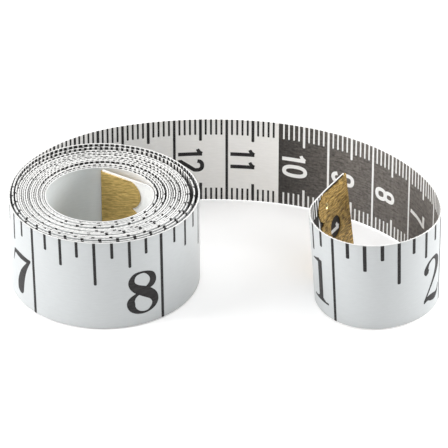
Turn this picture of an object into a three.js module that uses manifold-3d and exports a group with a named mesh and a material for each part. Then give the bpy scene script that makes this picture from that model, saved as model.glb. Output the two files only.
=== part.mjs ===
// Cloth tape measure: a coated band wound into a loose roll, with its free end
// led round behind the roll and curled up beside it, and a folded brass tip on each end.
// Millimetres, +Z up. The origin is the middle of the footprint on the table, +X the long way.

import * as THREE from 'three';
import { mergeVertices } from 'three/addons/utils/BufferGeometryUtils.js';
import loadManifold from 'manifold-3d';

// Band
const bandWidth = 17.5;
const bandThick = 0.34;
const lengthGap = 0.3; // clear space at each flex line, between two lengths of the band

// Roll: a spiral whose turns lie close on the left and have worked loose elsewhere
const rollCentre = new THREE.Vector2(-22.73, -5.39);
const coreRadius = 9.79; // middle of the innermost turn
const coreAngle = 8; // degrees, where the winding starts
const leaveAngle = 161.7; // degrees, where the free part leaves it
const fullTurns = 16;
const turnPitch = 0.376; // from turn to turn where they lie close
const stepsPerTurn = 36;
const rollPlay = 3; // what all the turns together have opened by, at the back
const tightSide = { angle: 185, share: 0.18, rise: 80, fallFrom: 80 }; // degrees clockwise of the angle
const looseTurns = [ // [turn, its share of the play]
  [2.27, 0.16], [6.27, 0.18], [10.27, 0.04], [12.27, 0.06], [14.27, 0.27], [15.27, 0.29],
];

// Inner end: the band bends off the innermost turn and runs straight across the core
const innerBend = { radius: 4, sweep: 47 };
const innerChord = 8.9;

// Free part, from the roll to the zero end. Each length of band is a run of arcs, [length, radius]
const straight = Infinity;
const freeLengths = {
  tape_span_1: [[9.5, 23.8], [20, 30.1]],
  tape_span_2: [[14, 54.9], [14, 55.6]],
  tape_span_3: [[14, 44.5], [14, 37.4]],
  tape_curl_1: [[10, 36.9], [10, 26]],
  tape_curl_2: [[9, 13.4], [9, 14.1]],
  tape_curl_3: [[9, 10.55], [9, 11.5]],
  tape_curl_4: [[7, 9.45], [11, straight]],
};
const arcStep = 2.2; // longest facet on the free part

// Brass tips: one sheet folded over the end of the band, both leaves scalloped in three lobes
const tip = {
  sheet: 0.25,
  seat: 0.05, // between the leaf and the band
  edge: 0.35, // the leaf stops short of the band's long edges
  zeroReach: 10.6, // from the end of the band to the tops of the lobes
  innerReach: 7.8, // the inner end's leaves are shorter
  lobes: 3,
  lobeRise: 2.1, // from the nicks between the lobes to their tops
  stake: { back: 4, up: 13.1, radius: 0.75, depth: 0.16 }, // back from the tops of the lobes
};
const tipWindow = { along: 3.9, halfWidth: 1.6, halfHeight: 2.5 }; // only in the zero end's tip

const bandFinish = new THREE.MeshStandardMaterial({ color: 0xe4e4e1, roughness: 0.45, metalness: 0 });
const brassFinish = new THREE.MeshStandardMaterial({ color: 0xb08a45, roughness: 0.38, metalness: 1 });

const wasm = await loadManifold();
wasm.setup();

const radians = THREE.MathUtils.degToRad;
const ease = (t) => THREE.MathUtils.smoothstep(t, 0, 1);
const heading = (angle) => new THREE.Vector2(Math.cos(angle), Math.sin(angle));
const windingTurns = fullTurns + THREE.MathUtils.euclideanModulo(coreAngle - leaveAngle, 360) / 360;

// How far the roll has opened at this angle: least on the tight side, quickly wide open behind it,
// then closing slowly round the right and the front
function playAt(angle) {
  const past = THREE.MathUtils.euclideanModulo(tightSide.angle - THREE.MathUtils.radToDeg(angle), 360);
  const closing = ease((past - tightSide.fallFrom) / (360 - tightSide.fallFrom));
  const opening = ease(past / tightSide.rise) * (1 - closing);
  return rollPlay * THREE.MathUtils.lerp(tightSide.share, 1, opening);
}

// The middle of the band after so many turns, wound clockwise from the core outwards
function windingPoint(turn) {
  const angle = radians(coreAngle) - 2 * Math.PI * turn;
  const opened = looseTurns.reduce((sum, [at, share]) => sum + share * ease((turn - at) / 0.7 + 0.5), 0);
  const radius = coreRadius + turnPitch * turn + opened * playAt(angle);
  return heading(angle).multiplyScalar(radius).add(rollCentre);
}

// A pen that draws right-hand arcs: its place, its heading and the points it has passed
class Pen {
  constructor(place, angle) {
    this.place = place.clone();
    this.angle = angle;
  }

  arc(length, radius, skipStart = 0) {
    const steps = radius === straight ? 1 : Math.ceil(length / arcStep);
    const points = [];
    for (let i = 0; i <= steps; i++) {
      points.push(this.ahead(THREE.MathUtils.lerp(skipStart, length, i / steps), radius));
    }
    this.place = this.ahead(length, radius);
    if (radius !== straight) this.angle -= length / radius;
    return points;
  }

  ahead(distance, radius) {
    if (radius === straight) return heading(this.angle).multiplyScalar(distance).add(this.place);
    const toCentre = heading(this.angle - Math.PI / 2).multiplyScalar(radius);
    const centre = this.place.clone().add(toCentre);
    return centre.clone().sub(toCentre.rotateAround(new THREE.Vector2(), -distance / radius));
  }
}

// The band in plan: its middle line offset to both faces, then raised to the band's width
function bandSolid(line) {
  const side = line.map((point, i) => {
    const before = line[Math.max(i - 1, 0)];
    const after = line[Math.min(i + 1, line.length - 1)];
    const along = after.clone().sub(before).normalize();
    return new THREE.Vector2(-along.y, along.x).multiplyScalar(bandThick / 2);
  });
  const left = line.map((point, i) => point.clone().add(side[i]));
  const right = line.map((point, i) => point.clone().sub(side[i]));
  const outline = new THREE.Shape([...right, ...left.reverse()]);
  return new THREE.ExtrudeGeometry(outline, { depth: bandWidth, bevelEnabled: false });
}

function bandMesh(name, line) {
  const mesh = new THREE.Mesh(bandSolid(line), bandFinish);
  mesh.name = name;
  return mesh;
}

// Joining points of two arcs count once
const chain = (...runs) => runs.flatMap((run, i) => (i ? run.slice(1) : run));

// The wound part: from the straight inner end, round the bend and out along the spiral
function rollLine() {
  const start = windingPoint(0);
  const startAngle = radians(coreAngle) - Math.PI / 2;
  const { radius, sweep } = innerBend;
  const bendAngle = startAngle + radians(sweep);
  const bendCentre = start.clone().add(heading(startAngle - Math.PI / 2).multiplyScalar(radius));
  const bendStart = bendCentre.clone().add(heading(bendAngle + Math.PI / 2).multiplyScalar(radius));
  const innerEnd = bendStart.clone().sub(heading(bendAngle).multiplyScalar(innerChord));

  const pen = new Pen(innerEnd, bendAngle);
  const chord = pen.arc(innerChord, straight);
  const bend = pen.arc(radius * radians(sweep), radius);
  const steps = Math.round(windingTurns * stepsPerTurn);
  const spiral = Array.from({ length: steps + 1 }, (_, i) => windingPoint((windingTurns * i) / steps));
  return { line: chain(chord, bend, spiral), innerEnd, innerAngle: bendAngle };
}

// Manifold solids from closed geometries, and back
function solidOf(geometry) {
  const bare = geometry.clone();
  bare.deleteAttribute('normal');
  bare.deleteAttribute('uv');
  const merged = mergeVertices(bare, 1e-5);
  return new wasm.Manifold(new wasm.Mesh({
    numProp: 3,
    vertProperties: new Float32Array(merged.attributes.position.array),
    triVerts: new Uint32Array(merged.index.array),
  }));
}

function geometryOf(solid) {
  const mesh = solid.getMesh();
  const geometry = new THREE.BufferGeometry();
  geometry.setAttribute('position', new THREE.BufferAttribute(mesh.vertProperties, 3));
  geometry.setIndex(new THREE.BufferAttribute(mesh.triVerts, 1));
  geometry.computeVertexNormals();
  return geometry;
}

// Tip frame: X from the end along the band, Y through its thickness, Z up its width
function foldedSheet(reach) {
  const inside = bandThick / 2 + tip.seat;
  const outside = inside + tip.sheet;
  const section = new THREE.Shape();
  section.moveTo(reach + 1, outside);
  section.lineTo(0, outside);
  section.absarc(0, 0, outside, Math.PI / 2, 1.5 * Math.PI, false);
  section.lineTo(reach + 1, -outside);
  section.lineTo(reach + 1, -inside);
  section.lineTo(0, -inside);
  section.absarc(0, 0, inside, 1.5 * Math.PI, Math.PI / 2, true);
  section.lineTo(reach + 1, inside);
  return new THREE.ExtrudeGeometry(section, { depth: bandWidth, bevelEnabled: false, curveSegments: 8 });
}

// Leaf outline seen square on: straight end and sides, then lobes that are arcs on equal chords
function leafPrism(reach) {
  const low = tip.edge;
  const chord = (bandWidth - 2 * tip.edge) / tip.lobes;
  const radius = (chord * chord / 4 + tip.lobeRise * tip.lobeRise) / (2 * tip.lobeRise);
  const half = Math.asin(chord / 2 / radius);
  const leaf = new THREE.Shape();
  leaf.moveTo(-1, bandWidth - low);
  leaf.lineTo(-1, low);
  for (let i = 0; i < tip.lobes; i++) {
    leaf.absarc(reach - radius, low + chord * (i + 0.5), radius, -half, half, false);
  }
  return uprightPrism(leaf);
}

function windowPrism() {
  const oval = new THREE.Shape();
  const { along, halfWidth, halfHeight } = tipWindow;
  oval.absellipse(along, bandWidth / 2, halfWidth, halfHeight, 0, 2 * Math.PI);
  return uprightPrism(oval);
}

// An outline drawn in X and Z, carried right through the tip along Y
function uprightPrism(shape) {
  const prism = new THREE.ExtrudeGeometry(shape, { depth: 4, bevelEnabled: false, curveSegments: 10 });
  return prism.translate(0, 0, -2).rotateX(Math.PI / 2);
}

// Punch marks that lock the leaves to the band, one near each long edge on both faces
function stakeBalls(reach) {
  const { back, up, radius, depth } = tip.stake;
  const face = bandThick / 2 + tip.seat + tip.sheet;
  return [up, bandWidth - up].flatMap((height) => [1, -1].map((sign) => (
    new THREE.SphereGeometry(radius, 12, 8).translate(reach - back, sign * (face + radius - depth), height)
  )));
}

function tipMesh(name, place, angle, reach, windowed) {
  let brass = solidOf(foldedSheet(reach)).intersect(solidOf(leafPrism(reach)));
  for (const ball of stakeBalls(reach)) brass = brass.subtract(solidOf(ball));
  if (windowed) brass = brass.subtract(solidOf(windowPrism()));
  const mesh = new THREE.Mesh(geometryOf(brass), brassFinish);
  mesh.name = name;
  mesh.position.set(place.x, place.y, 0);
  mesh.rotation.z = angle;
  return mesh;
}

const tape = new THREE.Group();

const wound = rollLine();
tape.add(bandMesh('tape_roll', wound.line));
tape.add(tipMesh('inner_end_tip', wound.innerEnd, wound.innerAngle, tip.innerReach, false));

const leaving = windingPoint(windingTurns);
const leavingFrom = windingPoint(windingTurns - 1e-4);
const pen = new Pen(leaving, leaving.clone().sub(leavingFrom).angle());
for (const [name, arcs] of Object.entries(freeLengths)) {
  const runs = arcs.map(([length, radius], i) => pen.arc(length, radius, i ? 0 : lengthGap));
  tape.add(bandMesh(name, chain(...runs)));
}
tape.add(tipMesh('zero_end_tip', pen.place, pen.angle + Math.PI, tip.zeroReach, true));

export default tape;
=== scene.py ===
import math

import bmesh
import bpy
import numpy as np
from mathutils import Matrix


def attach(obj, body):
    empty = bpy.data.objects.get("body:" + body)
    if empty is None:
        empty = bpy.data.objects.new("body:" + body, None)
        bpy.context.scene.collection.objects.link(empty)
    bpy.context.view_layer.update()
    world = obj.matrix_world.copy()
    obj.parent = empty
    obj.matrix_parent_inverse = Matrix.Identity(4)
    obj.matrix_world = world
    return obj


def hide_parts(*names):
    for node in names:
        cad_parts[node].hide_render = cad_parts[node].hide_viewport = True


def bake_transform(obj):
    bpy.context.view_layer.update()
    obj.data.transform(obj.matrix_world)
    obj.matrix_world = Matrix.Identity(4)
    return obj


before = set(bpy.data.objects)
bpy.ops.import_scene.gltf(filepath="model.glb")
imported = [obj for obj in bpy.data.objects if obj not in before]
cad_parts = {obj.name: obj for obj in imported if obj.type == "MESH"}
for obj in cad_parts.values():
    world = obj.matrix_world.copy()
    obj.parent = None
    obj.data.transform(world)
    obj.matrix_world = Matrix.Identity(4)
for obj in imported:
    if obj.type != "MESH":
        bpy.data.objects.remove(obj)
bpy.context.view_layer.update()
mm = 0.001

# Route of the band: that of the part's source, with a thinner band, its own loose turns and slightly longer ends
band = {"width": 17.5, "thick": 0.28}
roll = {
    "centre": (-22.73, -5.39),
    "coreRadius": 9.79,      # middle of the innermost turn
    "coreAngle": 8.0,        # degrees, where the winding starts
    "leaveAngle": 161.7,     # degrees, where the free part leaves
    "fullTurns": 16,
    "turnPitch": 0.376,
    "play": 3.44,            # what all the turns together have opened by, at the back
    "tightAngle": 185.0,     # degrees, where the turns lie closest
    "tightShare": 0.1593,    # share of the play that is spread evenly over the turns
    "rise": 88.42,           # degrees, clockwise of the tight side, in which the loose turns open
    "fallFrom": 50.0,        # and after which they begin to close
    "looseTurns": [(1.27, 0.147), (4.27, 0.147), (8.27, 0.046), (10.27, 0.046), (14.27, 0.324), (15.27, 0.29)],
    "loosenOver": 0.7,       # turns
    "drawnIn": {"turns": (15, 16), "by": 0.22, "angle": 190.0, "over": 60.0},   # on the left, inside these turns
    "samples": 16001,
}
windingTurns = roll["fullTurns"] + (roll["coreAngle"] - roll["leaveAngle"]) % 360 / 360
innerEnd = {"bendRadius": 4.0, "bendSweep": 47.0, "chord": 9.5}
freeArcs = [(9.5, 23.8), (20.0, 30.1), (14.0, 54.9), (14.0, 55.6), (14.0, 44.5), (14.0, 37.4), (10.0, 36.9),
            (10.0, 26.0), (9.0, 13.4), (9.0, 14.1), (9.0, 10.55), (9.0, 11.5), (7.0, 9.45), (12.2, math.inf)]
freeLength = sum(length for length, radius in freeArcs)
routeStep = 0.1
scaleStart = 0.73            # the scale counts from a line this far inside the band's zero end
lean = {   # the zero end tips over: its foot stands further right than its rim
    "most": 1.4, "from": 6.2, "over": 50.0,
    "pivot": (0.5, 1.1), "pivotOver": 16.0,   # about the middle of the band at its end, about the rim beyond
}
rollLean = {   # the outer turn's foot stands further right and further forward than its rim
    "right": 0.4, "front": 0.75, "from": 169.0, "rise": 12.0, "until": 190.0, "fall": 30.0,
}
rollLift = {"most": 0.16, "from": 45.0, "over": 45.0, "swells": (41.0, 13.7), "phase": 0.6}   # turns stand unevenly


def ease(t):  # smooth step from 0 to 1
    t = np.clip(t, 0.0, 1.0)
    return t * t * (3.0 - 2.0 * t)


def heading(angle):
    return np.stack([np.cos(angle), np.sin(angle)], -1)


def lengthsAlong(points):  # distance of each point from the first, along the line
    return np.concatenate([[0.0], np.cumsum(np.linalg.norm(np.diff(points, axis=0), axis=1))])


# Spiral: the radius grows by one pitch a turn and by the play. A share of the play is spread evenly over the turns.
# The rest is what the loose turns have opened: nothing on the tight side, most of it behind, and less and less
# round the right and the front. On the left the turns draw in, each by its share, away from the two outermost ones
def windingRadius(turn):
    angle = roll["coreAngle"] - 360.0 * turn
    past = (roll["tightAngle"] - angle) % 360.0
    closing = ease((past - roll["fallFrom"]) / (360.0 - roll["fallFrom"]))
    opening = ease(past / roll["rise"]) * (1.0 - closing)
    opened = sum(share * ease((turn - at) / roll["loosenOver"] + 0.5) for at, share in roll["looseTurns"])
    spread = roll["tightShare"] * turn / windingTurns + (1.0 - roll["tightShare"]) * opening * opened
    inner = roll["drawnIn"]
    away = np.abs((angle - inner["angle"] + 180.0) % 360.0 - 180.0)
    share = sum(np.where(turn < last, turn / last, 0.0) for last in inner["turns"])
    drawnIn = inner["by"] * share * ease(1.0 - away / inner["over"])
    return roll["coreRadius"] + roll["turnPitch"] * turn + roll["play"] * spread - drawnIn


def windingPoint(turn):  # wound clockwise, from the core outwards
    angle = np.radians(roll["coreAngle"] - 360.0 * turn)
    return np.array(roll["centre"]) + windingRadius(turn)[..., None] * heading(angle)


# Right-hand arc: a circle about a centre one radius to the right of the heading, or a straight line
def arcRun(place, angle, length, radius):
    t = np.linspace(0.0, length, max(2, int(length / routeStep) + 1))
    if math.isinf(radius):
        return place + t[:, None] * heading(angle), angle
    centre = place + radius * heading(angle - math.pi / 2)
    return centre + radius * heading(angle + math.pi / 2 - t / radius), angle - length / radius


def bandRoute():  # middle line from the inner end to the free end
    spiral = windingPoint(np.linspace(0.0, windingTurns, roll["samples"]))
    radius, sweep = innerEnd["bendRadius"], math.radians(innerEnd["bendSweep"])
    startAngle = math.radians(roll["coreAngle"]) - math.pi / 2
    bendAngle = startAngle + sweep
    bendCentre = spiral[0] + radius * heading(startAngle - math.pi / 2)
    bendStart = bendCentre + radius * heading(bendAngle + math.pi / 2)
    chordStart = bendStart - innerEnd["chord"] * heading(bendAngle)
    chord = arcRun(chordStart, bendAngle, innerEnd["chord"], math.inf)[0]
    bend = arcRun(bendStart, bendAngle, radius * sweep, radius)[0]
    runs = [chord, bend[1:], spiral[1:]]
    place, justBefore = spiral[-1], windingPoint(np.array(windingTurns - 1e-4))
    angle = math.atan2(*(place - justBefore)[::-1])
    for length, radius in freeArcs:
        points, angle = arcRun(place, angle, length, radius)
        runs.append(points[1:])
        place = points[-1]
    return np.concatenate(runs)


# Table of the route by distance from the free end: place, and the direction out of the curl
line = bandRoute()[::-1]
gone = lengthsAlong(line)
bandLength = float(gone[-1])
along = np.linspace(0.0, bandLength, int(bandLength / routeStep) + 1)
line = np.stack([np.interp(along, gone, line[:, 0]), np.interp(along, gone, line[:, 1])], -1)
toward = np.gradient(line, along, axis=0)
toward /= np.linalg.norm(toward, axis=1, keepdims=True)
outward = np.stack([toward[:, 1], -toward[:, 0]], -1)
print(f"route: band {bandLength:.1f} mm long, {freeLength:.1f} mm of it free")


# Clear space beside a wound turn: its radius and that of the next turn out (step 1) or in (step -1) differ by
# this space and the band's thickness
def gapBeside(dist, step):
    turn = np.linspace(windingTurns, 0.0, roll["samples"])
    wound = freeLength + lengthsAlong(windingPoint(turn))
    beside = turn + step
    gap = np.abs(windingRadius(np.clip(beside, 0.0, windingTurns)) - windingRadius(turn)) - band["thick"]
    gap = np.where((beside < 0.0) | (beside > windingTurns), 0.0, gap)
    return np.interp(dist, wound, gap, left=0.0, right=0.0)


# The zero end's lean: a shift to the right that falls evenly with the height, from the foot to the rim, and is
# nothing at the pivot's height
def leanShift(dist, height):
    past = dist - lean["from"]
    pivot = lean["pivot"][0] + (lean["pivot"][1] - lean["pivot"][0]) * ease(past / lean["pivotOver"])
    return lean["most"] * (1.0 - ease(past / lean["over"])) * (pivot - height / band["width"])


# The outer turn's lean: it comes in and goes out along the band, and falls evenly with the height to nothing
def rollLeaning(dist, height):
    comesIn = ease((dist - rollLean["from"]) / rollLean["rise"])
    goesOut = ease((dist - rollLean["until"]) / rollLean["fall"])
    return comesIn * (1.0 - goesOut) * (1.0 - height / band["width"])


# A point of the band: the middle line at a distance from the free end, moved out of the curl, at a height. Wound
# turns are lifted by the product of two slow waves
def onBand(dist, out, height):
    dist, out, height = np.broadcast_arrays(*(np.asarray(v, float) for v in (dist, out, height)))
    leaning = rollLeaning(dist, height)
    x = np.interp(dist, along, line[:, 0]) + out * np.interp(dist, along, outward[:, 0])
    x = x + leanShift(dist, height) + rollLean["right"] * leaning
    y = np.interp(dist, along, line[:, 1]) + out * np.interp(dist, along, outward[:, 1])
    swell = np.sin(dist / rollLift["swells"][0] + rollLift["phase"]) * np.cos(dist / rollLift["swells"][1])
    wound = ease((dist - freeLength - rollLift["from"]) / rollLift["over"])
    lift = rollLift["most"] * wound * (1.0 + swell)
    return np.stack([x, y - rollLean["front"] * leaning, height + lift], -1)


def onCloth(dist, height, side=0.0):  # a point's place for the materials: along, up, and 1 outside or -1 inside
    return np.stack(np.broadcast_arrays(dist, height, side), -1)


# Closed tubes: rings of points joined to the next ring, with a cap at each end unless the tube closes on itself
def tubeMesh(name, ringSets, material, sharp=35.0):
    verts, corners, counts, tags, base = [], [], [], [], 0
    for rings, closed, tag in ringSets:
        tubes, steps, points = rings.shape[:3]
        index = base + np.arange(tubes * steps * points).reshape(tubes, steps, points)
        nextRing = np.roll(index, -1, 1) if closed else index[:, 1:]
        thisRing = index if closed else index[:, :-1]
        quads = np.stack([thisRing, np.roll(thisRing, -1, 2), np.roll(nextRing, -1, 2), nextRing], -1)
        corners.append(quads.reshape(-1))
        counts.append(np.full(quads.size // 4, 4))
        if not closed:
            caps = np.concatenate([index[:, 0, ::-1], index[:, -1]])
            corners.append(caps.reshape(-1))
            counts.append(np.full(len(caps), points))
        verts.append(rings.reshape(-1, 3))
        tags.append(np.broadcast_to(tag, rings.shape).reshape(-1, 3))
        base += rings.size // 3
    verts, corners, counts = np.concatenate(verts), np.concatenate(corners), np.concatenate(counts)
    mesh = bpy.data.meshes.new(name)
    mesh.vertices.add(len(verts))
    mesh.vertices.foreach_set("co", (verts * mm).astype(np.float32).ravel())
    mesh.loops.add(len(corners))
    mesh.loops.foreach_set("vertex_index", corners.astype(np.int32))
    mesh.polygons.add(len(counts))
    mesh.polygons.foreach_set("loop_start", np.concatenate([[0], np.cumsum(counts)[:-1]]).astype(np.int32))
    mesh.update(calc_edges=True)
    tagPoints(mesh, "clothPlace", np.concatenate(tags))
    return finishMesh(name, mesh, material, sharp)


def tagPoints(mesh, name, values):  # a value or a vector for each point, which the materials read
    kind, field = ("FLOAT_VECTOR", "vector") if values.shape[-1] == 3 else ("FLOAT", "value")
    mesh.attributes.new(name, kind, "POINT").data.foreach_set(field, values.astype(np.float32).ravel())


def finishMesh(name, mesh, material, sharp):  # faces turned outwards, smooth but for its sharp edges
    shell = bmesh.new()
    shell.from_mesh(mesh)
    bmesh.ops.recalc_face_normals(shell, faces=shell.faces)
    shell.to_mesh(mesh)
    shell.free()
    mesh.polygons.foreach_set("use_smooth", np.ones(len(mesh.polygons), bool))
    mesh.set_sharp_from_angle(angle=math.radians(sharp))
    mesh.materials.append(material)
    piece = bpy.data.objects.new(name, mesh)
    bpy.context.scene.collection.objects.link(piece)
    return piece


# Materials
def newMaterial(name):
    material = bpy.data.materials.new(name)
    material.use_nodes = True
    return material, material.node_tree, material.node_tree.nodes["Principled BSDF"]


def feed(tree, node, links):  # each socket gets a link, or a constant of its own
    for socket, source in links:
        if hasattr(source, "is_output"):
            tree.links.new(source, node.inputs[socket])
        else:
            node.inputs[socket].default_value = source


def newNode(tree, kind, links=(), **values):
    node = tree.nodes.new(kind)
    for key, value in values.items():
        setattr(node, key, value)
    feed(tree, node, links)
    return node


def mathNode(tree, operation, *values):
    return newNode(tree, "ShaderNodeMath", list(enumerate(values)), operation=operation).outputs[0]


def rampNode(tree, value, reach, ends=(0.0, 1.0), curve="LINEAR"):  # one range of values mapped to another
    links = [("Value", value), ("From Min", reach[0]), ("From Max", reach[1]),
             ("To Min", ends[0]), ("To Max", ends[1])]
    return newNode(tree, "ShaderNodeMapRange", links, interpolation_type=curve).outputs[0]


def noiseNode(tree, place, scale, detail, roughness=0.5, distortion=0.0):
    links = [("Vector", place), ("Scale", scale), ("Detail", detail), ("Roughness", roughness),
             ("Distortion", distortion)]
    return newNode(tree, "ShaderNodeTexNoise", links).outputs["Fac"]


def tintNode(tree, factor, first, second, kind="MIX"):  # one colour laid over another: a mix's sockets 6 and 7
    first, second = (c if hasattr(c, "is_output") else (*c, 1) for c in (first, second))
    return newNode(tree, "ShaderNodeMix", [("Factor", factor), (6, first), (7, second)], data_type="RGBA",
                   blend_type=kind).outputs[2]


def mixNode(tree, factor, first, second):  # between two values: a mix's sockets 2 and 3
    return newNode(tree, "ShaderNodeMix", [("Factor", factor), (2, first), (3, second)]).outputs[0]


def bumpNode(tree, height, strength, depth):
    links = [("Height", height), ("Strength", strength), ("Distance", depth)]
    return newNode(tree, "ShaderNodeBump", links).outputs[0]


def newGroup(name, inputs, outputs):
    tree = bpy.data.node_groups.new(name, "ShaderNodeTree")
    for label, kind in inputs:
        tree.interface.new_socket(label, in_out="INPUT", socket_type=kind)
    for label in outputs:
        tree.interface.new_socket(label, in_out="OUTPUT", socket_type="NodeSocketFloat")
    return tree, tree.nodes.new("NodeGroupInput").outputs, tree.nodes.new("NodeGroupOutput")


weaveLook = {   # noises are scale, detail and roughness
    "threads": 16.0, "drawnOut": (0.55, 3.4, 1.0), "streak": (1.0, 5.0, 0.65), "speckle": (1.7, 4.0, 0.7),
}
handlingLook = {"size": 0.11, "blotch": (4.0, 0.55), "edgeFrom": 7.6}   # the edge counts from the band's middle


# Weave: product of two sine waves, one along and one across the band, brought between 0 and 1, with streaks drawn
# out along the threads and a finer speckle
def weaveGroup():
    tree, entry, leave = newGroup("plainWeave", [("Place", "NodeSocketVector"), ("Threads", "NodeSocketFloat")],
                                  ["Height", "Streak", "Speckle"])
    scaled = newNode(tree, "ShaderNodeVectorMath", [(0, entry["Place"]), ("Scale", entry["Threads"])],
                     operation="SCALE")
    parts = newNode(tree, "ShaderNodeSeparateXYZ", [(0, scaled.outputs[0])]).outputs
    warp, weft = mathNode(tree, "SINE", parts["X"]), mathNode(tree, "SINE", parts["Y"])
    crossing = mathNode(tree, "MULTIPLY_ADD", mathNode(tree, "MULTIPLY", warp, weft), 0.5, 0.5)
    drawnOut = newNode(tree, "ShaderNodeMapping", [("Vector", entry["Place"]), ("Scale", weaveLook["drawnOut"])])
    feed(tree, leave, [("Height", crossing),
                       ("Streak", noiseNode(tree, drawnOut.outputs[0], *weaveLook["streak"])),
                       ("Speckle", noiseNode(tree, entry["Place"], *weaveLook["speckle"]))])
    return tree


# Handling: soft blotches where fingers have dulled the surface, and a mask that grows towards both long edges
def handlingGroup():
    tree, entry, leave = newGroup("handling", [("Place", "NodeSocketVector"), ("Size", "NodeSocketFloat")],
                                  ["Blotch", "Edge"])
    height = newNode(tree, "ShaderNodeSeparateXYZ", [(0, entry["Place"])]).outputs["Y"]
    fromMiddle = mathNode(tree, "ABSOLUTE", mathNode(tree, "SUBTRACT", height, band["width"] / 2))
    edge = rampNode(tree, fromMiddle, (handlingLook["edgeFrom"], band["width"] / 2), curve="SMOOTHSTEP")
    feed(tree, leave, [("Blotch", noiseNode(tree, entry["Place"], entry["Size"], *handlingLook["blotch"])),
                       ("Edge", edge)])
    return tree


weave, handling = weaveGroup(), handlingGroup()
clothBuild = {
    "toneReach": (0.37, 0.63), "edgeDirt": 0.5, "glossReach": (0.3, 0.7), "bumpDepth": 0.04 * mm,
    "coatRoughness": 0.3,
    "faceReach": (0.7, 0.95), "rimFrom": 1.7,     # how squarely a point has to lie on a face or on a rim
    "hollowShade": ((72.0, 58.0), (3.0, 27.0)),       # from the inner end, where the painted shade on the hollow's wall comes in and goes out
}
clothLooks = {   # tones are two for the threads and one for the worn edges
    "vinylCloth": {
        "tones": [(0.91, 0.91, 0.905), (0.95, 0.95, 0.945), (0.78, 0.77, 0.74)],
        "roughness": (0.34, 0.46), "relief": 0.16, "coat": 0.2,
        # the outer tint holds the face's own cool tone and painted shade; the rim and bare-end tints are painted
        # shade
        "faces": {"outer": (0.585, 0.607, 0.617), "inner": (1.0, 0.985, 0.965), "rim": (0.82, 0.82, 0.815),
                  "hollowShade": (0.685, 0.732, 0.762)},
    },
    "charcoalPrint": {
        "tones": [(0.062, 0.056, 0.052), (0.225, 0.204, 0.185), (0.2, 0.182, 0.166)],
        "roughness": (0.42, 0.56), "relief": 0.5, "specular": 0.2, "speckle": 0.5,
        # painted sheen on one stretch of the charcoal, and painted shade away from it
        "sheenAndShade": {"middle": 60.0, "reach": (26.0, 43.0), "shadeAway": (0.22, 0.22, 0.23)},
    },
    "darkInk": {
        "tones": [(0.018, 0.017, 0.018), (0.040, 0.038, 0.038), (0.05, 0.047, 0.046)],
        "roughness": (0.4, 0.52), "relief": 0.3, "specular": 0.15,
    },
    "paleInk": {
        "tones": [(0.91, 0.91, 0.90), (0.95, 0.95, 0.94), (0.84, 0.83, 0.80)],
        "roughness": (0.4, 0.52), "relief": 0.3,
    },
}


# Each face has its own tint, and so have the rims and the bare stretch inside the roll. The outer face's tint is
# its own cool tone darkened by painted shade, and the rims' and the bare stretch's tints are painted shade. Every
# tint multiplies
def faceTints(tree, colour, parts, faces):
    side, reach = parts["Z"], clothBuild["faceReach"]
    inner = rampNode(tree, mathNode(tree, "MULTIPLY", side, -1.0), reach)
    rim = mathNode(tree, "SUBTRACT", clothBuild["rimFrom"], mathNode(tree, "ABSOLUTE", side))
    # painted shade on the inner face of the bare stretch inside the roll, the hollow's wall
    hollowShade = inner
    for start, end in clothBuild["hollowShade"]:
        within = rampNode(tree, parts["X"], (bandLength - start, bandLength - end))
        hollowShade = mathNode(tree, "MULTIPLY", hollowShade, within)
    masks = {"outer": rampNode(tree, side, reach), "inner": inner, "rim": rampNode(tree, rim, reach),
             "hollowShade": hollowShade}
    for label, mask in masks.items():
        colour = tintNode(tree, mask, colour, faces[label], "MULTIPLY")
    return colour


# Cloth and print share one build: two tones mixed by the streaks, dulled by handling, with the weave as relief
def clothMaterial(name, tones, roughness, relief, specular=0.5, coat=0.0, speckle=0.0, faces=None, sheenAndShade=None):
    material, tree, surface = newMaterial(name)
    place = newNode(tree, "ShaderNodeAttribute", attribute_name="clothPlace").outputs["Vector"]
    parts = newNode(tree, "ShaderNodeSeparateXYZ", [(0, place)]).outputs
    threads = newNode(tree, "ShaderNodeGroup", node_tree=weave)
    feed(tree, threads, [("Place", place), ("Threads", weaveLook["threads"])])
    wear = newNode(tree, "ShaderNodeGroup", node_tree=handling)
    feed(tree, wear, [("Place", place), ("Size", handlingLook["size"])])
    mottle = mixNode(tree, speckle, threads.outputs["Streak"], threads.outputs["Speckle"])
    colour = tintNode(tree, rampNode(tree, mottle, clothBuild["toneReach"]), tones[0], tones[1])
    dirt = mathNode(tree, "MULTIPLY", wear.outputs["Blotch"], wear.outputs["Edge"])
    colour = tintNode(tree, mathNode(tree, "MULTIPLY", dirt, clothBuild["edgeDirt"]), colour, tones[2])
    # painted shade on the outer face, the rims and the hollow's wall
    if faces:
        colour = faceTints(tree, colour, parts, faces)
    if sheenAndShade:  # the charcoal is paler on one stretch near the zero end, a painted sheen, and darker away from it, painted shade inside the curl at the zero end and between the wound turns
        away = mathNode(tree, "ABSOLUTE", mathNode(tree, "SUBTRACT", parts["X"], sheenAndShade["middle"]))
        colour = tintNode(tree, rampNode(tree, away, sheenAndShade["reach"]), colour, sheenAndShade["shadeAway"], "MULTIPLY")
    feed(tree, surface, [
        ("Base Color", colour),
        ("Roughness", rampNode(tree, wear.outputs["Blotch"], clothBuild["glossReach"], roughness)),
        ("Normal", bumpNode(tree, threads.outputs["Height"], relief, clothBuild["bumpDepth"])),
        ("Specular IOR Level", specular), ("Coat Weight", coat), ("Coat Roughness", clothBuild["coatRoughness"]),
    ])
    return material


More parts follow.
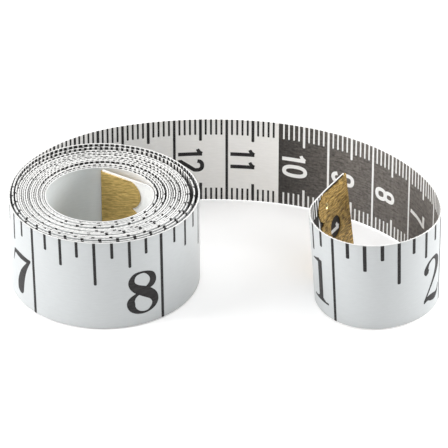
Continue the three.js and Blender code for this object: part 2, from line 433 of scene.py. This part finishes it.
brassBuild = {   # noises are scale, detail, roughness and distortion
    "ripples": (1.0, 2.5, 0.55, 0.5), "grain": (9.0, 4.0, 0.7), "tarnish": (0.4, 5.0),
    "grainShare": 0.12, "toneReach": (0.46, 0.68), "bumpDepth": 0.2 * mm, "metallic": 0.85,
    "dullReach": (0.45, 0.75), "dullMost": 0.22, "dull": (0.46, 0.31, 0.09),
    "brightenedFrom": (11.0, 4.0),                     # heights: brighter low down
    # the struck colour is a painted highlight on the punch marks
    "struck": (1.0, 0.83, 0.42), "struckGloss": 0.2, "glossReach": (0.3, 0.7), "roughness": (0.34, 0.5),
}
brassLooks = {
    # dark and light are the ripples' painted shade and painted highlight
    "rippledBrass": {"strokes": (1.3, 0.24), "askew": 0.0, "dark": (0.15, 0.086, 0.022),
                     "light": (0.70, 0.475, 0.152), "relief": 1.2, "lowBrightening": 1.4},
    "brushedBrass": {"strokes": (1.9, 0.2), "askew": 14.0, "dark": (0.46, 0.32, 0.105),
                     "light": (0.79, 0.565, 0.2), "relief": 0.45, "lowBrightening": 1.0},
}


# Brass: short rolled ripples along the sheet, over a fine grain and a soft tarnish, with painted shade in their
# valleys and a painted highlight on their crests.
# The punch marks carry a painted highlight
def brassMaterial(name, strokes, askew, dark, light, relief, lowBrightening):
    material, tree, surface = newMaterial(name)
    place = newNode(tree, "ShaderNodeAttribute", attribute_name="sheetPlace").outputs["Vector"]
    struck = newNode(tree, "ShaderNodeAttribute", attribute_name="punched").outputs["Fac"]
    up = newNode(tree, "ShaderNodeSeparateXYZ", [(0, place)]).outputs["Y"]
    rolled = newNode(tree, "ShaderNodeMapping", vector_type="TEXTURE")
    feed(tree, rolled, [("Vector", place), ("Rotation", (0, 0, math.radians(askew))), ("Scale", (*strokes, 1.0))])
    ripples = noiseNode(tree, rolled.outputs[0], *brassBuild["ripples"])
    grain = noiseNode(tree, place, *brassBuild["grain"])
    tarnish = noiseNode(tree, place, *brassBuild["tarnish"])
    height = mathNode(tree, "ADD", ripples, mathNode(tree, "MULTIPLY", grain, brassBuild["grainShare"]))
    # painted shade in the ripples' valleys and a painted highlight on their crests
    colour = tintNode(tree, rampNode(tree, height, brassBuild["toneReach"]), dark, light)
    dull = rampNode(tree, tarnish, brassBuild["dullReach"], (0.0, brassBuild["dullMost"]))
    colour = tintNode(tree, dull, colour, brassBuild["dull"])
    colour = tintNode(tree, rampNode(tree, up, brassBuild["brightenedFrom"]), colour, (lowBrightening,) * 3, "MULTIPLY")
    gloss = rampNode(tree, grain, brassBuild["glossReach"], brassBuild["roughness"])
    calm = mathNode(tree, "MULTIPLY", height, mathNode(tree, "SUBTRACT", 1.0, struck))
    feed(tree, surface, [
        # painted highlight on the punch marks
        ("Base Color", tintNode(tree, struck, colour, brassBuild["struck"])),
        ("Roughness", mixNode(tree, struck, gloss, brassBuild["struckGloss"])),
        ("Normal", bumpNode(tree, calm, relief, brassBuild["bumpDepth"])),
        ("Metallic", brassBuild["metallic"]),
    ])
    return material


vinylCloth, charcoalPrint, darkInk, paleInk = (clothMaterial(name, **look) for name, look in clothLooks.items())
rippledBrass, brushedBrass = (brassMaterial(name, **look) for name, look in brassLooks.items())
print("materials: six finishes")

# Band pieces: the roll, and one length across each flex line. A flex line lies in the gap between two lengths of
# the solids, which are two arcs each, and a seam half-way between two flex lines
bodies = ["roll", "span_1", "span_2", "span_3", "curl_1", "curl_2", "curl_3", "curl_4"]
flex = {
    "gap": 0.3,
    "before": [1.2, 10.0, 10.0, 8.5, 7.0, 7.0, 7.0],    # the bend starts this far on the roll's side
    "after": [11.5, 10.0, 10.0, 8.5, 7.0, 7.0, 6.0],    # and ends this far on the free side
    "rollSeam": 2.25,                                   # from the first flex line back along the roll
}
lengthsLeft = [sum(length for length, radius in freeArcs[2 * i:]) for i in range(len(bodies) - 1)]
flexAt = [round(left - flex["gap"] / 2, 2) for left in lengthsLeft]
halfway = [round((near + far) / 2, 2) for near, far in zip(flexAt, flexAt[1:])]
seams = [round(flexAt[0] + flex["rollSeam"], 2), *halfway, 0.0]
bandSection = {"chamfer": 0.06, "step": 0.5}


# Strip: an eight-cornered section, flat on both faces and chamfered at the rims, carried along the route
def bandStrip(name, near, far):
    half, width, cut = band["thick"] / 2, band["width"], bandSection["chamfer"]
    out = np.array([half, half, half - cut, cut - half, -half, -half, cut - half, half - cut])
    up = np.array([cut, width - cut, width, width, width - cut, cut, 0.0, 0.0])
    dist = np.linspace(near, far, int((far - near) / bandSection["step"]) + 1)[:, None]
    rings = onBand(dist, out, up)[None]
    piece = tubeMesh(name, [(rings, False, onCloth(dist, up, out / half)[None])], vinylCloth)
    return piece


def carry(piece, number):  # number 0 rides on the roll, and the others are fixed where they lie
    if number == 0:
        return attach(piece, "roll")
    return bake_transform(piece)


reaches = [(seams[0], bandLength)] + list(zip(seams[1:], seams[:-1]))
for number, (near, far) in enumerate(reaches):
    piece = bandStrip("band_roll" if number == 0 else f"band_flex_{number}", near, far)
    carry(piece, number)
    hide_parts("tape_" + bodies[number])
print(f"band: {len(reaches)} pieces")

# Print. Inches on the outer face count along the band, centimetres on the inner face stand across it
ink = {
    "film": 0.015, "root": 0.05,          # above the face, and into the band
    "overRim": 0.14,                      # beside a wide gap the ink runs over the rim
    "footNarrow": 0.6, "footRise": 0.14,  # a tick is narrower at its foot
    "layer": 0.003, "sway": 0.002,        # strokes that cross don't lie in one plane
}
inchScale = {
    "inch": 25.45,           # the print runs a little long
    "firstEighth": 4, "last": 60,
    "lineThick": 0.6, "tickThick": 0.54, "half": 8.6, "quarter": 5.4, "eighth": 3.2,
    "lineShort": 0.02, "rimShort": 0.06, "rimPast": 0.012,
    "looseGap": 0.14, "boldEnd": 60.0, "boldBy": 1.22,   # ticks near the zero end are bolder
    "figureHeight": 9.0, "figureWidth": 0.65, "figureFoot": 2.3, "figureGap": 0.9, "figurePitch": 6.0,
    "figureSeat": 3.5,       # a figure belongs to the piece that is this far before its line
    "weight": 1.1, "penStep": (0.3, 1.1), "penAcross": (5, 3),   # seen, and hidden
    "covered": freeLength + 125.0,   # beyond this the outer face is wound over
}
cmScale = {
    "first": 8, "last": 1500, "stretch": 100,
    "lineThick": 0.5, "tickThick": 0.38, "fiveThick": 0.54, "paleThin": 0.85,
    "topTick": 3.3, "topFive": 4.6, "footTick": 2.6, "footFive": 3.7, "edgeShort": 0.03, "rimShort": 0.01,
    "looseGap": 0.42, "looseBold": 1.25,
    "figureHeight": 5.0, "figureMiddle": [8.3, 9.0, 8.75], "figureGap": 0.7, "figurePitch": 2.7,
    "figureSink": 0.1, "figureSeat": 3.0, "penStep": (0.22, 0.9), "penAcross": 2,
    "firstForward": 2.05,    # the first figure stands nearer the end, inside the tip's window
    "panelRim": 0.05, "panelFilm": 0.008, "panelRoot": 0.04, "panelBefore": 0.5, "panelLeast": 0.3,
    "covered": freeLength + 20.0,
}


# Tick: a bar on one face, narrowed at its foot, rooted in the band. face is 1 outside the curl and -1 inside it
def tickBars(mark, thick, low, high, face, film, overRim=0.0):
    mark, thick, low, high = np.broadcast_arrays(*(np.asarray(v, float) for v in (mark, thick, low, high)))
    if not mark.size:
        return []
    taper, corner = np.array([ink["footNarrow"], 1.0, 1.0]), np.array([-1.0, 1.0, 1.0, -1.0])
    dist = mark[:, None, None] + scaleStart + thick[:, None, None] / 2 * taper[:, None] * corner
    depth = band["thick"] / 2 + np.array([-ink["root"] - overRim, -ink["root"] - overRim, film, film])
    height = np.stack([low, low + ink["footRise"], high], -1)[:, :, None]
    return [(onBand(dist, face * depth, height), False, onCloth(dist, height))]


# Smooth pen line through (across, up, width) points: Catmull-Rom between them, closed where it ends at its start
def penLine(points, step):
    points = np.asarray(points, float)
    closed = len(points) > 3 and np.allclose(points[0], points[-1])
    if closed:
        padded = np.concatenate([points[-2:-1], points, points[1:2]])
    else:
        padded = np.concatenate([2 * points[:1] - points[1:2], points, 2 * points[-1:] - points[-2:-1]])
    steps = max(3, int(math.ceil(lengthsAlong(points[:, :2])[-1] / step)))
    t = np.linspace(0, len(points) - 1, steps + 1)
    if closed:
        t = t[:-1]
    k = np.minimum(t.astype(int), len(points) - 2)
    u = (t - k)[:, None]
    a, b, c, d = (padded[k + i] for i in range(4))
    pen = 0.5 * (2 * b + (c - a) * u + (2 * a - 5 * b + 4 * c - d) * u ** 2 + (3 * b - a - 3 * c + d) * u ** 3)
    ahead = np.roll(pen, -1, 0) - np.roll(pen, 1, 0) if closed else np.gradient(pen, axis=0)
    ahead = ahead[:, :2] / np.maximum(np.linalg.norm(ahead[:, :2], axis=1, keepdims=True), 1e-9)
    return pen[:, :2], np.stack([-ahead[:, 1], ahead[:, 0]], -1), np.maximum(pen[:, 2], 0.01) / 2, closed


def turned(strokes, width):  # a figure turned half round
    return [[(width - x, 1.0 - y, w) for x, y, w in stroke] for stroke in strokes]


# Inch figures: a bold book face, thick and thin. Each stroke is (across, up, width) in figure heights
sixBold = [
    [(0.5, 0.8, 0.1), (0.53, 0.87, 0.08), (0.45, 0.955, 0.05), (0.33, 0.955, 0.06), (0.19, 0.83, 0.13),
     (0.105, 0.6, 0.18), (0.095, 0.36, 0.19), (0.16, 0.13, 0.13), (0.31, 0.03, 0.05), (0.46, 0.09, 0.11),
     (0.55, 0.28, 0.18), (0.5, 0.48, 0.12), (0.36, 0.57, 0.05), (0.23, 0.51, 0.045), (0.16, 0.38, 0.04)],
]
boldFigures = {
    "0": [[(0.325, 0.965, 0.05), (0.48, 0.87, 0.11), (0.555, 0.68, 0.17), (0.57, 0.5, 0.18), (0.555, 0.32, 0.17),
           (0.48, 0.13, 0.11), (0.325, 0.035, 0.05), (0.17, 0.13, 0.11), (0.095, 0.32, 0.17), (0.08, 0.5, 0.18),
           (0.095, 0.68, 0.17), (0.17, 0.87, 0.11), (0.325, 0.965, 0.05)]],
    "1": [[(0.31, 0.985, 0.14), (0.31, 0.5, 0.14), (0.31, 0.05, 0.14)],
          [(0.01, 0.895, 0.02), (0.14, 0.925, 0.05), (0.29, 0.955, 0.1)],
          [(0.02, 0.05, 0.04), (0.3, 0.05, 0.04), (0.57, 0.05, 0.04)],
          [(0.15, 0.065, 0.03), (0.31, 0.09, 0.1), (0.46, 0.065, 0.03)]],
    "2": [[(0.1, 0.67, 0.08), (0.075, 0.735, 0.15), (0.075, 0.81, 0.12), (0.16, 0.92, 0.06), (0.33, 0.965, 0.05),
           (0.47, 0.9, 0.13), (0.52, 0.76, 0.17), (0.46, 0.6, 0.13), (0.31, 0.42, 0.07), (0.14, 0.22, 0.05),
           (0.02, 0.06, 0.045)],
          [(0.0, 0.03, 0.04), (0.13, 0.09, 0.09), (0.28, 0.06, 0.14), (0.44, 0.03, 0.13), (0.57, 0.09, 0.06),
           (0.62, 0.22, 0.03)]],
    "3": [[(0.16, 0.74, 0.09), (0.12, 0.79, 0.15), (0.17, 0.91, 0.07), (0.31, 0.965, 0.05), (0.46, 0.89, 0.13),
           (0.49, 0.77, 0.16), (0.42, 0.62, 0.1), (0.25, 0.54, 0.045)],
          [(0.25, 0.54, 0.045), (0.44, 0.49, 0.09), (0.53, 0.36, 0.17), (0.53, 0.24, 0.18), (0.44, 0.09, 0.12),
           (0.29, 0.03, 0.055), (0.15, 0.08, 0.07), (0.1, 0.18, 0.15), (0.15, 0.24, 0.09)]],
    "4": [[(0.42, 0.95, 0.05), (0.22, 0.61, 0.05), (0.04, 0.28, 0.05)],
          [(0.02, 0.27, 0.06), (0.33, 0.27, 0.06), (0.63, 0.27, 0.06)],
          [(0.43, 0.98, 0.16), (0.43, 0.5, 0.16), (0.43, 0.02, 0.16)],
          [(0.25, 0.02, 0.04), (0.43, 0.02, 0.04), (0.61, 0.02, 0.04)]],
    "5": [[(0.14, 0.94, 0.04), (0.13, 0.72, 0.035), (0.12, 0.5, 0.04)],
          [(0.13, 0.94, 0.03), (0.25, 0.91, 0.12), (0.4, 0.9, 0.12), (0.56, 0.97, 0.03)],
          [(0.12, 0.5, 0.04), (0.22, 0.585, 0.05), (0.36, 0.6, 0.07), (0.51, 0.5, 0.15), (0.555, 0.33, 0.19),
           (0.49, 0.12, 0.13), (0.33, 0.03, 0.055), (0.17, 0.07, 0.07), (0.11, 0.18, 0.15), (0.16, 0.24, 0.09)]],
    "6": sixBold,
    "7": [[(-0.04, 0.58, 0.02), (0.01, 0.74, 0.04), (0.05, 0.84, 0.06)],
          [(0.03, 0.85, 0.07), (0.2, 0.845, 0.11), (0.4, 0.84, 0.11), (0.55, 0.845, 0.09), (0.66, 0.88, 0.03)],
          [(0.64, 0.87, 0.05), (0.51, 0.69, 0.09), (0.38, 0.47, 0.16), (0.29, 0.22, 0.21), (0.27, 0.05, 0.2),
           (0.265, -0.015, 0.13), (0.262, -0.04, 0.04)]],
    "8": [[(0.34, 0.928, 0.043), (0.49, 0.845, 0.114), (0.535, 0.737, 0.131), (0.51, 0.643, 0.13),
           (0.42, 0.57, 0.09), (0.29, 0.5, 0.07), (0.155, 0.43, 0.065), (0.065, 0.345, 0.12), (0.04, 0.247, 0.16),
           (0.075, 0.125, 0.13), (0.205, 0.03, 0.068), (0.385, 0.017, 0.042), (0.52, 0.1, 0.087),
           (0.572, 0.213, 0.137), (0.535, 0.335, 0.175), (0.445, 0.42, 0.2), (0.32, 0.495, 0.205),
           (0.165, 0.575, 0.175), (0.075, 0.68, 0.14), (0.075, 0.795, 0.105), (0.16, 0.905, 0.062),
           (0.34, 0.928, 0.043)]],
    "9": turned(sixBold, 0.645),
}

# Centimetre figures: a narrow plain face of one stroke width
plainPen = 0.155


def even(*places):  # a pen line of one width through (across, up) places
    return [(x, y, plainPen) for x, y in places]


# Oval pen line: a circle stretched to two radii with squarish shoulders, from one angle to another
def oval(x, y, across, up, start, end, count=13, shoulder=0.8):
    angle = np.radians(np.linspace(start, end, count))
    c, s = (np.sign(wave) * np.abs(wave) ** shoulder for wave in (np.cos(angle), np.sin(angle)))
    return even(*zip(x + across * c, y + up * s))


sixPlain = [oval(0.275, 0.29, 0.195, 0.21, 90, 450),
            even((0.46, 0.74), (0.42, 0.87), (0.29, 0.925), (0.15, 0.85), (0.09, 0.66), (0.08, 0.45), (0.08, 0.29))]
plainFigures = {
    "0": [oval(0.275, 0.5, 0.195, 0.42, 90, 450, count=19)],
    "1": [even((0.31, 0.92), (0.31, 0.5), (0.31, 0.0)),
          [(0.3, 0.9, plainPen), (0.21, 0.8, plainPen * 0.9), (0.1, 0.745, plainPen * 0.8)]],
    "2": [oval(0.275, 0.71, 0.195, 0.21, 175, -25) + even((0.3, 0.4), (0.09, 0.1)),
          even((0.01, 0.08), (0.27, 0.08), (0.52, 0.08))],
    "3": [oval(0.265, 0.715, 0.18, 0.205, 160, -90), oval(0.265, 0.295, 0.2, 0.215, 90, -165)],
    "4": [even((0.37, 1.0), (0.37, 0.5), (0.37, 0.0)), even((0.34, 0.94), (0.2, 0.62), (0.06, 0.29)),
          even((0.0, 0.27), (0.27, 0.27), (0.54, 0.27))],
    "5": [even((0.49, 0.92), (0.3, 0.92), (0.1, 0.92)), even((0.12, 0.92), (0.11, 0.7), (0.1, 0.5)),
          oval(0.265, 0.33, 0.205, 0.25, 125, -165)],
    "6": sixPlain,
    "7": [even((0.03, 0.92), (0.27, 0.92), (0.51, 0.92)), even((0.47, 0.9), (0.3, 0.5), (0.2, 0.0))],
    "8": [oval(0.275, 0.72, 0.17, 0.2, 90, 450), oval(0.275, 0.29, 0.195, 0.21, 90, 450)],
    "9": turned(sixPlain, 0.55),
}


# Figure: each stroke is a slab whose section, across the pen, follows the face. turn maps pen places to (along, up)
def figureSlabs(strokes, size, turn, face, film, step, across):
    slabs = []
    for layer, stroke in enumerate(strokes):
        pen, normal, half, closed = penLine(stroke, step / size)
        half = half[:, None] * np.concatenate([[-1.0, 1.0], np.linspace(1.0, -1.0, across)])
        sway = ink["sway"] * closed * np.sin(np.linspace(0, 2 * math.pi, len(pen), endpoint=False))
        rise = np.concatenate([[-ink["root"]] * 2, [film + ink["layer"] * layer] * across]) + sway[:, None]
        dist, height = turn(*(pen[:, None, axis] + normal[:, None, axis] * half for axis in (0, 1)))
        rings = onBand(dist, face * (band["thick"] / 2 + rise), height)[None]
        slabs.append((rings, closed, onCloth(dist, height)[None]))
    return slabs


def inchFigures(number, hidden):  # upright, just before its line
    text, size = str(number), inchScale["figureHeight"]
    end = number * inchScale["inch"] + scaleStart - inchScale["figureGap"]
    slabs = []
    for i, figure in enumerate(text):
        start = end - inchScale["figureWidth"] * size - (len(text) - 1 - i) * inchScale["figurePitch"]
        turn = lambda x, y, start=start: (start + x * size, inchScale["figureFoot"] + y * size)
        strokes = [[(x, y, w * inchScale["weight"]) for x, y, w in stroke] for stroke in boldFigures[figure]]
        slabs += figureSlabs(strokes, size, turn, 1, ink["film"], inchScale["penStep"][hidden],
                             inchScale["penAcross"][hidden])
    return slabs


def cmFigures(number, film, hidden):  # lying down, its top towards the zero end
    text, size, pitch = str(number), cmScale["figureHeight"], cmScale["figurePitch"]
    foot = number * 10.0 + scaleStart - cmScale["figureGap"] - (cmScale["firstForward"] if number == 1 else 0.0)
    slabs = []
    for i, figure in enumerate(text):
        top = cmScale["figureMiddle"][len(text) - 1] + pitch * (len(text) / 2 - i) - cmScale["figureSink"]
        turn = lambda x, y, top=top: (foot - y * size, top - x * size)
        slabs += figureSlabs(plainFigures[figure], size, turn, -1, film, cmScale["penStep"][hidden],
                             cmScale["penAcross"])
    return slabs


# Inch marks: a line across the band at each inch, and ticks from the rim down for halves, quarters and eighths
def inchPrint(near, far):
    width, inch = band["width"], inchScale["inch"]
    eighths = np.arange(inchScale["firstEighth"], inchScale["last"] * 8)
    marks = eighths * inch / 8
    keep = (marks + scaleStart >= near) & (marks + scaleStart < far)
    eighths, marks = eighths[keep], marks[keep]
    lengths = [width - inchScale["lineShort"], inchScale["half"], inchScale["quarter"]]
    reach = np.select([eighths % 8 == 0, eighths % 4 == 0, eighths % 2 == 0], lengths, inchScale["eighth"])
    bold = np.where(marks < inchScale["boldEnd"], inchScale["boldBy"], 1.0)
    thick = np.where(eighths % 8 == 0, inchScale["lineThick"], inchScale["tickThick"] * bold)
    loose = gapBeside(marks + scaleStart, 1) > inchScale["looseGap"]
    slabs = []
    for chosen, top, over in ((~loose, width - inchScale["rimShort"], 0.0),
                              (loose, width + inchScale["rimPast"], ink["overRim"])):
        slabs += tickBars(marks[chosen], thick[chosen], width - reach[chosen], top, 1, ink["film"], over)
    for number in range(1, inchScale["last"] + 1):
        if near <= number * inch - inchScale["figureSeat"] + scaleStart < far:
            slabs += inchFigures(number, number * inch > inchScale["covered"])
    return slabs


# Centimetre marks: a line across the band at each centimetre, and millimetre ticks along both edges. Stretches of
# ten centimetres take turns: pale print on charcoal (dark), and dark print on the bare band
def cmPrint(near, far, dark):
    width, edge, stretch = band["width"], cmScale["edgeShort"], cmScale["stretch"]
    film = ink["film"] + (cmScale["panelFilm"] if dark else 0.0)
    thin = cmScale["paleThin"] if dark else 1.0
    parity = 0 if dark else 1
    marks = np.arange(cmScale["first"], cmScale["last"])
    keep = (marks + scaleStart >= near) & (marks + scaleStart < far)
    marks = marks[keep & (marks // stretch % 2 == parity) & (marks % stretch > 0)]
    lines, fives, ones = marks % 10 == 0, marks % 10 == 5, marks % 5 > 0
    loose = gapBeside(marks + scaleStart, -1) > cmScale["looseGap"]
    slabs = tickBars(marks[lines], cmScale["lineThick"] * thin, edge, width - edge, -1, film)
    for chosen, thick, top, foot in ((fives, cmScale["fiveThick"], cmScale["topFive"], cmScale["footFive"]),
                                     (ones, cmScale["tickThick"], cmScale["topTick"], cmScale["footTick"])):
        bold = np.where(loose[chosen] & (not dark), cmScale["looseBold"], 1.0)
        slabs += tickBars(marks[chosen], thick * thin * bold, width - top, width - cmScale["rimShort"], -1, film)
        slabs += tickBars(marks[chosen], thick * thin, edge, foot, -1, film)
    for number in range(1, cmScale["last"] // 10 + 1):
        middle = number * 10.0 - cmScale["figureSeat"]
        if near <= middle + scaleStart < far and middle // stretch % 2 == parity:
            slabs += cmFigures(number, film, number * 10.0 > cmScale["covered"])
    return slabs


# Charcoal stretch: every other ten centimetres, a thin film from rim to rim carried along the band
def charcoalStretch(near, far):
    slabs = []
    rim, length = cmScale["panelRim"], cmScale["stretch"]
    root, film = band["thick"] / 2 - cmScale["panelRoot"], band["thick"] / 2 + cmScale["panelFilm"]
    depth = -np.array([root, root, film, film])
    up = np.array([rim, band["width"] - rim, band["width"] - rim, rim])
    for start in np.arange(0.0, cmScale["last"], 2 * length):
        low, high = max(near, start + scaleStart - cmScale["panelBefore"]), min(far, start + length + scaleStart)
        if high - low < cmScale["panelLeast"]:
            continue
        dist = np.linspace(low, high, max(2, int((high - low) / bandSection["step"]) + 1))[:, None]
        slabs.append((onBand(dist, depth, up)[None], False, onCloth(dist, up)[None]))
    return slabs


printed = 0
for number, (near, far) in enumerate(reaches):
    tag = "roll" if number == 0 else f"flex_{number}"
    for name, slabs, finish in ((f"inch_print_{tag}", inchPrint(near, far), darkInk),
                                (f"cm_charcoal_{tag}", charcoalStretch(near, far), charcoalPrint),
                                (f"cm_pale_print_{tag}", cmPrint(near, far, True), paleInk),
                                (f"cm_dark_print_{tag}", cmPrint(near, far, False), darkInk)):
        if slabs:
            carry(tubeMesh(name, slabs, finish), number)
            printed += 1
print(f"print: {printed} pieces")

# Brass tips: one sheet folded over each end of the band
tip = {
    "sheet": 0.2, "seat": 0.03, "edge": 0.35, "zeroReach": 11.0, "innerReach": 8.7, "lobes": 3, "lobeRise": 2.1,
    "stakeBack": 3.4, "stakeUp": 14.4, "stakeRadius": 0.7, "glintSpread": 1.6,
    "stakeDepth": {"zero": 0.19, "inner": 0.05},   # struck hard at the zero end and lightly at the inner one
    "windowAlong": 4.8, "windowUp": 8.65, "windowHalfWidth": 1.9, "windowHalfHeight": 2.25,
    "pastRim": 0.35, "pastFoot": 1.45,   # the zero end's fold runs askew, this far past the band's end
    "rows": 121, "columns": 64, "foldSteps": 13, "windowSteps": 48, "punchReach": 2.0, "sharp": 40.0,
    "leavesApart": 5.0,      # keeps the ripples of the two leaves different
}


# Leaf end: arcs on equal chords, so the reach at a height is the arc's own height above its chord
def lobeReach(up, reach):
    chord = (band["width"] - 2 * tip["edge"]) / tip["lobes"]
    radius = (chord ** 2 / 4 + tip["lobeRise"] ** 2) / (2 * tip["lobeRise"])
    off = (up - tip["edge"]) % chord - chord / 2
    return reach - radius + np.sqrt(np.maximum(radius ** 2 - off ** 2, 0.0))


# Folded sheet: out along one face, round the fold and back along the other, outside and then inside. A punch mark
# is a shallow round bowl
def tipPiece(name, origin, ahead, aside, longest, windowed):
    inside = band["thick"] / 2 + tip["seat"]
    outside = inside + tip["sheet"]
    low, high = tip["edge"], band["width"] - tip["edge"]
    up = np.linspace(low, high, tip["rows"])[:, None]
    reach = lobeReach(np.clip(up, low + 1e-4, high - 1e-4), longest)
    leaf = np.linspace(1.0, 0.0, tip["columns"])
    bend = np.radians(np.linspace(90, 270, tip["foldSteps"]))[1:-1]
    past = windowed * (tip["pastFoot"] + (tip["pastRim"] - tip["pastFoot"]) * up / band["width"])

    def skin(gap):  # one skin of the sheet, its distance from the middle of the band being gap
        face = (reach + past) * leaf - past
        x = np.concatenate([face, gap * np.cos(bend) - past, face[:, ::-1]], 1)
        y = np.concatenate([np.full(len(leaf), gap), gap * np.sin(bend), np.full(len(leaf), -gap)])
        return x, np.tile(y, (len(up), 1))

    (xOut, yOut), (xIn, yIn) = skin(outside), skin(inside)
    fromStake = xOut - longest + tip["stakeBack"]
    away = np.minimum(np.hypot(fromStake, up - tip["stakeUp"]),
                      np.hypot(fromStake, band["width"] - up - tip["stakeUp"])) / tip["stakeRadius"]
    bowl = np.where(np.abs(yOut) > outside - 1e-6, np.maximum(1.0 - away ** 2, 0.0), 0.0)
    yOut = yOut - np.sign(yOut) * tip["stakeDepth"]["zero" if windowed else "inner"] * bowl
    x, y = np.concatenate([xOut, xIn[:, ::-1]], 1), np.concatenate([yOut, yIn[:, ::-1]], 1)
    height = np.broadcast_to(up, x.shape)
    rings = np.concatenate([origin + x[..., None] * ahead + y[..., None] * aside, height[..., None]], -1)
    rings[..., 0] += windowed * leanShift(x, up)
    points = x.shape[1]
    index = np.arange(x.size).reshape(x.shape)
    lower, upper = index[:-1], index[1:]
    sides = np.stack([lower, np.roll(lower, -1, 1), np.roll(upper, -1, 1), upper], -1).reshape(-1, 4)
    outer, inner = np.arange(points // 2), points - 1 - np.arange(points // 2)
    strip = np.stack([outer[:-1], outer[1:], inner[1:], inner[:-1]], -1)
    faces = np.concatenate([sides, strip, strip[:, ::-1] + index[-1, 0]])
    mesh = bpy.data.meshes.new(name)
    mesh.from_pydata((rings.reshape(-1, 3) * mm).tolist(), [], faces.tolist())
    # the zero end's punch marks carry a painted highlight, spread over the bowl
    punched = np.concatenate([np.minimum(bowl * tip["glintSpread"], 1.0) * windowed, 0.0 * bowl], 1)
    tagPoints(mesh, "sheetPlace", np.stack([x, height, np.sign(y) * tip["leavesApart"]], -1))
    tagPoints(mesh, "punched", punched[..., None])
    piece = finishMesh(name, mesh, rippledBrass if windowed else brushedBrass, tip["sharp"])
    if windowed:
        cutWindow(piece, origin, ahead, aside)
    return piece


# Window: an oval punch driven through both leaves, taken away from the sheet
def cutWindow(piece, origin, ahead, aside):
    angle = np.linspace(0, 2 * math.pi, tip["windowSteps"], endpoint=False)
    x = tip["windowAlong"] + tip["windowHalfWidth"] * np.cos(angle)
    height = tip["windowUp"] + tip["windowHalfHeight"] * np.sin(angle)
    depth = np.array([-tip["punchReach"], tip["punchReach"]])[:, None, None]
    plan = origin + x[:, None] * ahead + depth * aside
    rings = np.concatenate([plan, np.broadcast_to(height[:, None], plan.shape[:2] + (1,))], -1)[None]
    rings[..., 0] += leanShift(x, height)
    punch = tubeMesh("punch", [(rings, False, rings * 0.0)], rippledBrass)
    cut = piece.modifiers.new("window", "BOOLEAN")
    cut.operation, cut.solver, cut.object = "DIFFERENCE", "EXACT", punch
    bpy.context.view_layer.update()
    made = bpy.data.meshes.new_from_object(piece.evaluated_get(bpy.context.evaluated_depsgraph_get()))
    piece.modifiers.clear()
    piece.data = made
    made.set_sharp_from_angle(angle=math.radians(tip["sharp"]))
    bpy.data.objects.remove(punch)


def endTip(name, dist, sign, reach, windowed):  # sign is 1 at the zero end and -1 at the inner one
    place = onBand(dist, 0.0, band["width"] / 2)[:2]
    aside = np.array([np.interp(dist, along, outward[:, 0]), np.interp(dist, along, outward[:, 1])])
    return tipPiece(name, place, sign * np.array([-aside[1], aside[0]]), aside, reach, windowed)


zeroTip = endTip("zero_end_brass", 0.0, 1, tip["zeroReach"], True)
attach(zeroTip, "curl_4")
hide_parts("zero_end_tip")
innerTip = endTip("inner_end_brass", bandLength, -1, tip["innerReach"], False)
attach(innerTip, "roll")
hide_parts("inner_end_tip")
print("tips: two folded brass sheets")

# Floor, light and camera
studio = {
    "floorColour": (0.88, 0.88, 0.88), "floorRoughness": 0.9, "floorGlow": 0.27,
    "floorHalf": 2000.0, "floorDrop": 0.2, "worldLevel": 0.49,
    "lens": 297.3, "sensor": 36.0, "clip": (50.0, 10000.0),
    "target": (-0.101, 13.956), "distance": 701.0, "elevation": 30.57,
}
lamps = {   # place and size in metres, and power
    "topLamp": ((0.0, 0.1, 0.8), 0.6, 1.4),
    "leftLamp": ((-0.62, -0.04, 0.3), 0.4, 4.3),
    "rightLamp": ((0.6, 0.18, 0.3), 0.4, 4.7),
    "frontLamp": ((0.0, -0.75, 0.45), 0.5, 0.66),
}


def seenRays(tree):  # 1 for what the camera and reflections see, 0 for the light that falls on things
    rays = newNode(tree, "ShaderNodeLightPath").outputs
    return mathNode(tree, "MAXIMUM", rays["Is Camera Ray"], rays["Is Glossy Ray"])


floorFinish, floorTree, floorSurface = newMaterial("paleFloor")
feed(floorTree, floorSurface, [   # the glow shows in the picture and in reflections
    ("Base Color", (*studio["floorColour"], 1)), ("Roughness", studio["floorRoughness"]),
    ("Specular IOR Level", 0.0), ("Emission Strength", 1.0),
    ("Emission Color", mathNode(floorTree, "MULTIPLY", seenRays(floorTree), studio["floorGlow"])),
])
floorCorners = np.array([(-1, -1), (1, -1), (1, 1), (-1, 1)]) * studio["floorHalf"] * mm
floorMesh = bpy.data.meshes.new("floor")
floorMesh.from_pydata([(x, y, -studio["floorDrop"] * mm) for x, y in floorCorners], [], [(0, 1, 2, 3)])
floorMesh.materials.append(floorFinish)
floor = bpy.data.objects.new("floor", floorMesh)
bpy.context.scene.collection.objects.link(floor)

world = bpy.data.worlds.new("studio")
world.use_nodes = True
level = rampNode(world.node_tree, seenRays(world.node_tree), (0.0, 1.0), (studio["worldLevel"], 1.0))
feed(world.node_tree, world.node_tree.nodes["Background"], [   # reflections see a white room, the light is softer
    ("Color", (1, 1, 1, 1)), ("Strength", level),
])
bpy.context.scene.world = world

for name, (place, size, power) in lamps.items():  # square lamps that face the tape
    lamp = bpy.data.lights.new(name, "AREA")
    lamp.size, lamp.energy = size, power
    holder = bpy.data.objects.new(name, lamp)
    holder.location = place
    holder.rotation_euler = holder.location.to_track_quat("Z", "Y").to_euler()
    bpy.context.scene.collection.objects.link(holder)

camera = bpy.data.objects.new("camera", bpy.data.cameras.new("camera"))
camera.data.lens, camera.data.sensor_width = studio["lens"], studio["sensor"]
camera.data.clip_start, camera.data.clip_end = (reach * mm for reach in studio["clip"])
tilt = math.radians(studio["elevation"])
back, high = studio["distance"] * math.cos(tilt), studio["distance"] * math.sin(tilt)
camera.location = (studio["target"][0] * mm, (studio["target"][1] - back) * mm, high * mm)
camera.rotation_euler = (math.pi / 2 - tilt, 0, 0)
bpy.context.scene.collection.objects.link(camera)
bpy.context.scene.camera = camera
bpy.context.scene.view_settings.view_transform = "Standard"
print(f"studio: {len(lamps)} lamps")
